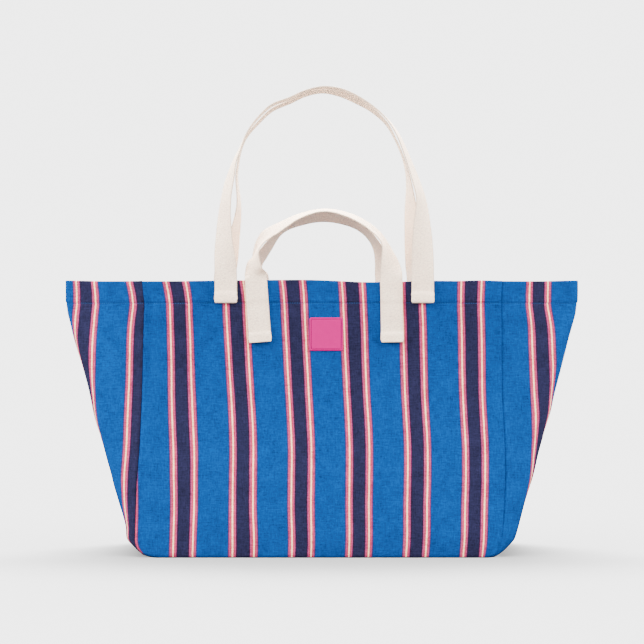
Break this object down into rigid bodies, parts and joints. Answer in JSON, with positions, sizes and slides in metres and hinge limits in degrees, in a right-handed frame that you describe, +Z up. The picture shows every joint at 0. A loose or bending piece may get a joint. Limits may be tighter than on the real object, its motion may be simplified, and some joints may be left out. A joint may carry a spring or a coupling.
{
  "type": "tote bag",
  "caption": "Large striped canvas tote with a box base, side gussets, long shoulder straps, short hand straps and a small leather patch.",
  "frame": {"origin": "on the floor, under the middle of the bag", "axes": "+X along the bag's width, -Y towards the front with the patch, +Z up"},
  "size_m": [0.6714, 0.225, 0.6089],
  "materials": {
    "striped_canvas": "plain-weave cotton canvas with yarn-dyed navy, pink and cream stripes, matte",
    "binding_tape": "folded cotton tape, matte",
    "blue_thread": "sewing thread, slight sheen",
    "cream_webbing": "woven cotton webbing, matte",
    "cream_thread": "sewing thread, slight sheen",
    "pink_leather": "smooth leather, satin",
    "pink_thread": "sewing thread, slight sheen"
  },
  "bodies": {
    "bag": {"front_panel": "striped_canvas", "back_panel": "striped_canvas", "left_gusset": "striped_canvas", "right_gusset": "striped_canvas", "base_panel": "striped_canvas", "base_seam_binding": "binding_tape", "front_left_seam_binding": "binding_tape", "front_right_seam_binding": "binding_tape", "back_left_seam_binding": "binding_tape", "back_right_seam_binding": "binding_tape", "hem_stitching": "blue_thread", "front_shoulder_strap_ends": "cream_webbing", "back_shoulder_strap_ends": "cream_webbing", "front_hand_strap_ends": "cream_webbing", "back_hand_strap_ends": "cream_webbing", "front_shoulder_strap_stitching": "cream_thread", "back_shoulder_strap_stitching": "cream_thread", "front_hand_strap_stitching": "cream_thread", "back_hand_strap_stitching": "cream_thread", "leather_patch": "pink_leather", "patch_stitching": "pink_thread"},
    "front_shoulder_strap": {"front_shoulder_strap": "cream_webbing"},
    "back_shoulder_strap": {"back_shoulder_strap": "cream_webbing"},
    "front_hand_strap": {"front_hand_strap": "cream_webbing"},
    "back_hand_strap": {"back_hand_strap": "cream_webbing"}
  },
  "joints": [
    {"name": "front_shoulder_strap_swing", "type": "hinge", "parent": "bag", "child": "front_shoulder_strap", "pos_m": [0, -0.055, 0.3527], "axis": [1, 0, 0], "range_deg": [0, 160]},
    {"name": "back_shoulder_strap_swing", "type": "hinge", "parent": "bag", "child": "back_shoulder_strap", "pos_m": [0, 0.055, 0.3527], "axis": [1, 0, 0], "range_deg": [-160, 0]},
    {"name": "front_hand_strap_swing", "type": "hinge", "parent": "bag", "child": "front_hand_strap", "pos_m": [0, -0.055, 0.3527], "axis": [1, 0, 0], "range_deg": [0, 140]},
    {"name": "back_hand_strap_swing", "type": "hinge", "parent": "bag", "child": "back_hand_strap", "pos_m": [0, 0.055, 0.3527], "axis": [1, 0, 0], "range_deg": [-140, 0]}
  ]
}
